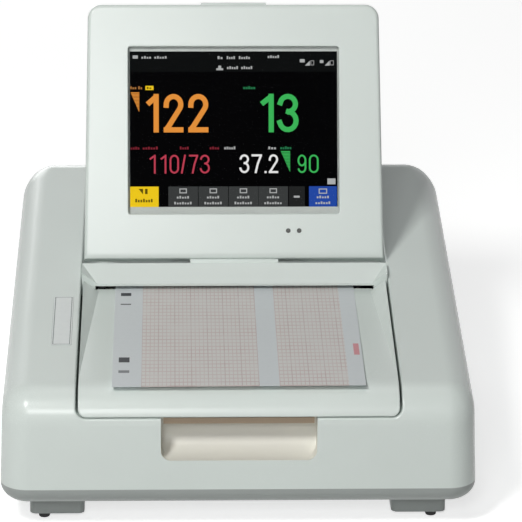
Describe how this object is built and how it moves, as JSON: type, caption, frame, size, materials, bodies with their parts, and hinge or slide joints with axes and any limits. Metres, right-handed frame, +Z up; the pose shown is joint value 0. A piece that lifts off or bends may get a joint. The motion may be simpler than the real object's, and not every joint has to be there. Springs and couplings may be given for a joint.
{
  "type": "cardiotocograph",
  "caption": "Desktop fetal and contraction monitor with a fold-flat touch screen, a thermal chart recorder in a pull-out paper drawer, and sensor sockets in its sides.",
  "frame": {"origin": "middle of the footprint, on the surface that the rubber feet stand on", "axes": "+Z up; the front with the drawer faces -Y; +X is the right-hand side seen from the front"},
  "size_m": [0.286, 0.335, 0.2664],
  "materials": {
    "housing": "fine-textured off-white ABS, semi-gloss",
    "base_plastic": "mid grey textured ABS",
    "panel_plastic": "pale grey textured ABS",
    "dark_plastic": "black moulded plastic",
    "tray_plastic": "warm grey moulded plastic",
    "rubber": "matt black rubber",
    "steel": "bright turned steel",
    "sheet_metal": "zinc-plated sheet",
    "aluminium": "plain aluminium",
    "brass": "nickel-free brass",
    "board": "green circuit board",
    "glass": "clear touch-panel glass",
    "display_cell": "black liquid-crystal cell",
    "lens": "dark smoked light pipe",
    "paper": "smooth thermal chart paper"
  },
  "bodies": {
    "root": {"base_pan": "base_plastic", "top_housing": "housing", "slot_bridge": "housing", "name_plate": "panel_plastic", "rubber_feet": "rubber", "casing_screws": "steel", "stand_inserts": "brass", "sensor_panel": "panel_plastic", "sensor_sockets": "dark_plastic", "sensor_board": "board", "vitals_panel": "panel_plastic", "cuff_socket": "tray_plastic", "oximetry_socket": "dark_plastic", "vitals_board": "board", "rear_panel": "panel_plastic", "mains_inlet": "dark_plastic", "network_sockets": "sheet_metal", "earth_post": "brass", "button_switch": "dark_plastic", "chassis_plate": "sheet_metal", "main_board": "board", "power_supply": "sheet_metal", "loudspeaker": "sheet_metal", "cuff_pump": "sheet_metal", "left_rail": "tray_plastic", "right_rail": "tray_plastic", "recorder_frame": "sheet_metal", "print_head": "aluminium", "head_bracket": "sheet_metal", "head_springs": "steel", "gear_studs": "steel", "recorder_motor": "sheet_metal", "hinge_blocks": "steel", "hinge_pin": "steel"},
    "display": {"hinge_arm": "housing", "screen_bezel": "housing", "screen_back": "housing", "screen_screws": "steel", "touch_panel": "glass", "lcd_cell": "display_cell", "lcd_frame": "aluminium", "screen_board": "board", "indicator_lenses": "lens", "catch_springs": "steel"},
    "display_catch": {"catch_button": "housing"},
    "drawer": {"drawer_cover": "housing", "drawer_tray": "tray_plastic", "paper_pack": "paper", "chart_paper": "paper", "lever_pin": "steel", "platen_bushes": "dark_plastic"},
    "drawer_lever": {"release_lever": "tray_plastic"},
    "platen": {"platen_shaft": "steel", "platen_roller": "rubber", "platen_gear": "dark_plastic"},
    "idler_upper": {"upper_idler": "dark_plastic"},
    "idler_lower": {"lower_idler": "dark_plastic"},
    "motor_rotor": {"motor_shaft": "steel", "motor_pinion": "steel"},
    "rear_button": {"power_button": "dark_plastic"}
  },
  "joints": [
    {"name": "display_tilt", "type": "hinge", "parent": "root", "child": "display", "pos_m": [0, -0.00052, 0.10747], "axis": [-1, 0, 0], "range_deg": [0, 61.54]},
    {"name": "display_catch_press", "type": "slide", "parent": "display", "child": "display_catch", "axis": [0, -0.3577, -0.9338], "range_m": [0, 0.002], "stiffness_N_per_m": 900, "springref_m": -0.001, "deforming": ["catch_springs"]},
    {"name": "drawer_slide", "type": "slide", "parent": "root", "child": "drawer", "axis": [0, -1, 0], "range_m": [0, 0.11]},
    {"name": "drawer_lever_tilt", "type": "hinge", "parent": "drawer", "child": "drawer_lever", "pos_m": [0, -0.146, 0.08], "axis": [-1, 0, 0], "range_deg": [0, 10], "stiffness_Nm_per_rad": 0.05, "springref_deg": -5.73},
    {"name": "platen_spin", "type": "hinge", "parent": "drawer", "child": "platen", "pos_m": [0, -0.0125, 0.09299], "axis": [1, 0, 0], "continuous": true},
    {"name": "upper_idler_spin", "type": "hinge", "parent": "root", "child": "idler_upper", "pos_m": [-0.084, -0.00038, 0.09299], "axis": [1, 0, 0], "continuous": true},
    {"name": "lower_idler_spin", "type": "hinge", "parent": "root", "child": "idler_lower", "pos_m": [-0.084, 0.00462, 0.07808], "axis": [1, 0, 0], "continuous": true},
    {"name": "motor_spin", "type": "hinge", "parent": "root", "child": "motor_rotor", "pos_m": [-0.084, 0.01362, 0.06669], "axis": [1, 0, 0], "continuous": true},
    {"name": "power_press", "type": "slide", "parent": "root", "child": "rear_button", "axis": [0, -1, 0], "range_m": [0, 0.0015], "stiffness_N_per_m": 1200, "springref_m": -0.0006}
  ],
  "couplings": [
    {"joint": "upper_idler_spin", "follows": "platen_spin", "ratio": -1.3077},
    {"joint": "lower_idler_spin", "follows": "platen_spin", "ratio": 0.65385},
    {"joint": "motor_spin", "follows": "platen_spin", "ratio": -1.7}
  ]
}
